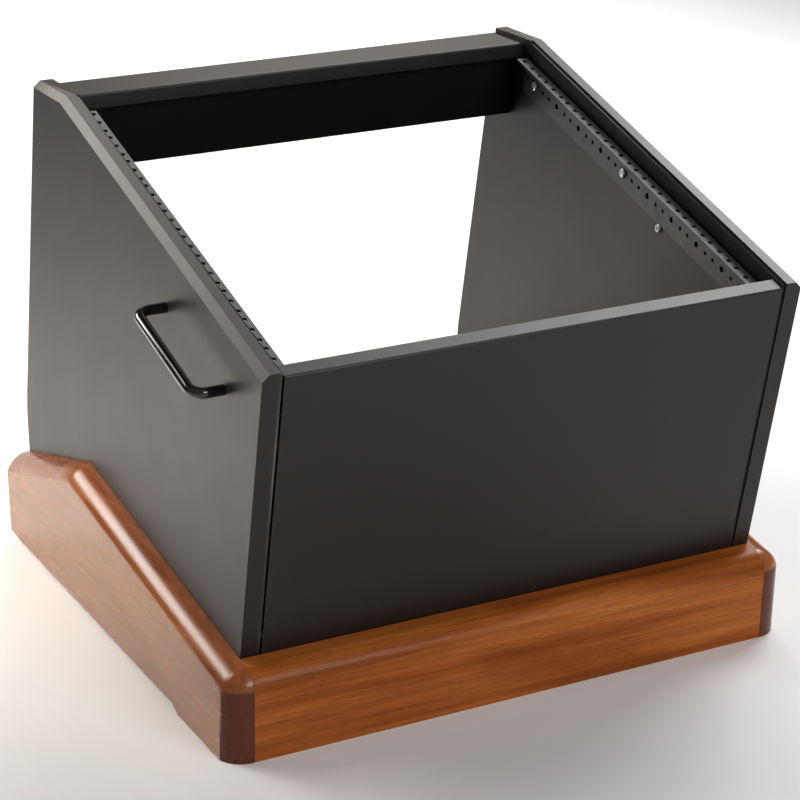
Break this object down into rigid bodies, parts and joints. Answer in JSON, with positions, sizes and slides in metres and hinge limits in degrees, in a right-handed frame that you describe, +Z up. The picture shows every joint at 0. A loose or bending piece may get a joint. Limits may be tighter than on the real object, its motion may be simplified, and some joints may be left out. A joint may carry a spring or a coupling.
{
  "type": "sloped rack cabinet",
  "caption": "Sloped cabinet for 19-inch rack equipment: two board sides with punched rails, open back and pull handles, standing on a rounded wooden plinth.",
  "frame": {"origin": "on the floor, under the middle of the bounding box", "axes": "+X to the right seen from the front, +Y towards the open back, +Z up; the low front panel faces -Y"},
  "size_m": [0.5896, 0.6044, 0.4985],
  "materials": {
    "laminate": "satin black laminate on board",
    "rail": "dark satin coated steel",
    "handle": "gloss black",
    "zinc": "bright zinc plated",
    "side_wood": "gloss lacquered reddish-brown wood, dark at the end grain",
    "rail_wood": "satin lacquered wood",
    "beech": "raw beech",
    "rubber": "matt black"
  },
  "bodies": {
    "root": {"rack_rail_right": "rail", "rack_rail_left": "rail", "rail_screw_1_right": "zinc", "rail_screw_1_left": "zinc", "rail_screw_2_right": "zinc", "rail_screw_2_left": "zinc", "rail_screw_3_right": "zinc", "rail_screw_3_left": "zinc", "handle_right": "handle", "handle_left": "handle", "handle_screw_1_right": "zinc", "handle_screw_1_left": "zinc", "handle_screw_2_right": "zinc", "handle_screw_2_left": "zinc", "side_panel_right": "laminate", "side_panel_left": "laminate", "front_panel": "laminate", "rear_top_board": "laminate", "rear_stretcher": "laminate", "bottom_board": "laminate", "plinth_side_right": "side_wood", "plinth_side_left": "side_wood", "plinth_front_rail": "rail_wood", "plinth_rear_rail": "rail_wood", "plinth_screw_1_right": "zinc", "plinth_screw_1_left": "zinc", "plinth_screw_2_right": "zinc", "plinth_screw_2_left": "zinc", "plinth_screw_3_right": "zinc", "plinth_screw_3_left": "zinc", "top_board_dowel_1_right": "beech", "top_board_dowel_1_left": "beech", "top_board_dowel_2_right": "beech", "top_board_dowel_2_left": "beech", "stretcher_dowel_1_right": "beech", "stretcher_dowel_1_left": "beech", "stretcher_dowel_2_right": "beech", "stretcher_dowel_2_left": "beech", "front_panel_dowel_1_right": "beech", "front_panel_dowel_1_left": "beech", "front_panel_dowel_2_right": "beech", "front_panel_dowel_2_left": "beech", "rear_rail_dowel_1_right": "beech", "rear_rail_dowel_1_left": "beech", "rear_rail_dowel_2_right": "beech", "rear_rail_dowel_2_left": "beech", "bottom_board_dowel_1_right": "beech", "bottom_board_dowel_1_left": "beech", "bottom_board_dowel_2_right": "beech", "bottom_board_dowel_2_left": "beech", "front_rail_dowel_1_right": "beech", "front_rail_dowel_1_left": "beech", "front_rail_dowel_2_right": "beech", "front_rail_dowel_2_left": "beech", "rubber_foot_right": "rubber", "rubber_foot_left": "rubber"}
  },
  "joints": []
}
